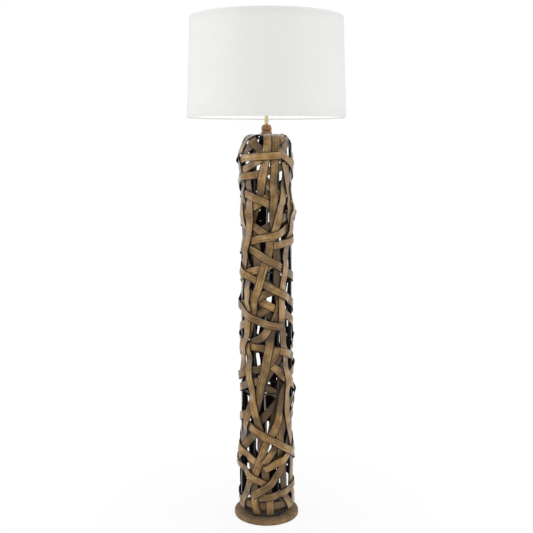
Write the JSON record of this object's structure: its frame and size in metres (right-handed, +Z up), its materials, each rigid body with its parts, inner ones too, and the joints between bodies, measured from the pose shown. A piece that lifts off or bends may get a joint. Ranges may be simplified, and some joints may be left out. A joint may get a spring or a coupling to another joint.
{
  "type": "rattan floor lamp",
  "caption": "Floor lamp: open woven column of flat rattan strips over an iron cage, round cane-wrapped base, turned collar, near-straight drum shade.",
  "frame": {"origin": "on the floor, under the middle of the base", "axes": "+Z up; the front that the picture shows faces -Y; +X to the viewer's right"},
  "size_m": [0.485, 0.485, 1.5603],
  "materials": {
    "felt": "brown felt",
    "iron": "blackened",
    "cane": "peeled cane, matt",
    "rattan": "split rattan, satin",
    "rattan_pale": "split rattan, weathered",
    "turned_wood": "satin",
    "steel": "satin",
    "brass": "pale, satin",
    "card": "matt",
    "black_plastic": "moulded",
    "opal_glass": "opal",
    "shade_fabric": "white laminated linen",
    "vinyl": "clear lamp lead"
  },
  "bodies": {
    "stand": {"base_felt": "felt", "base_plate": "iron", "base_cane_wrap": "cane", "lead_bushing": "black_plastic", "iron_cage": "iron", "neck_pipe": "steel", "lock_nut": "steel", "neck_collar": "turned_wood", "neck_sleeve": "brass", "harp_saddle": "brass", "holder_cap": "brass", "holder_shell": "brass", "holder_liner": "card", "harp": "brass", "lamp_lead": "vinyl", "rattan_strip_01": "rattan_pale", "rattan_strip_02": "rattan", "rattan_strip_03": "rattan", "rattan_strip_04": "rattan_pale", "rattan_strip_05": "rattan", "rattan_strip_06": "rattan", "rattan_strip_07": "rattan_pale", "rattan_strip_08": "rattan", "rattan_strip_09": "rattan", "rattan_strip_10": "rattan_pale", "rattan_strip_11": "rattan", "rattan_strip_12": "rattan", "rattan_strip_13": "rattan_pale", "rattan_strip_14": "rattan", "rattan_strip_15": "rattan", "rattan_strip_16": "rattan_pale", "rattan_strip_17": "rattan", "rattan_strip_18": "rattan", "rattan_strip_19": "rattan_pale", "rattan_strip_20": "rattan", "rattan_strip_21": "rattan", "rattan_strip_22": "rattan_pale", "rattan_strip_23": "rattan", "rattan_strip_24": "rattan", "rattan_strip_25": "rattan_pale", "rattan_strip_26": "rattan", "rattan_strip_27": "rattan", "rattan_strip_28": "rattan_pale", "rattan_strip_29": "rattan", "rattan_strip_30": "rattan", "rattan_strip_31": "rattan_pale", "rattan_strip_32": "rattan", "rattan_strip_33": "rattan", "rattan_strip_34": "rattan_pale", "rattan_strip_35": "rattan", "rattan_strip_36": "rattan", "rattan_strip_37": "rattan_pale", "rattan_strip_38": "rattan", "rattan_strip_39": "rattan"},
    "knob": {"switch_knob": "black_plastic"},
    "bulb": {"bulb": "opal_glass"},
    "finial": {"finial": "brass"},
    "shade": {"shade_fabric": "shade_fabric", "shade_lower_ring": "steel", "shade_spider": "steel"}
  },
  "joints": [
    {"name": "switch_turn", "type": "hinge", "parent": "stand", "child": "knob", "pos_m": [0, 0, 1.3244], "axis": [0, -1, 0], "continuous": true},
    {"name": "bulb_out", "type": "slide", "parent": "stand", "child": "bulb", "axis": [0, 0, 1], "range_m": [0, 0.045]},
    {"name": "shade_turn", "type": "hinge", "parent": "stand", "child": "shade", "pos_m": [0, 0, 1.536], "axis": [0, 0, 1], "continuous": true},
    {"name": "finial_off", "type": "slide", "parent": "stand", "child": "finial", "axis": [0, 0, 1], "range_m": [0, 0.025]}
  ]
}
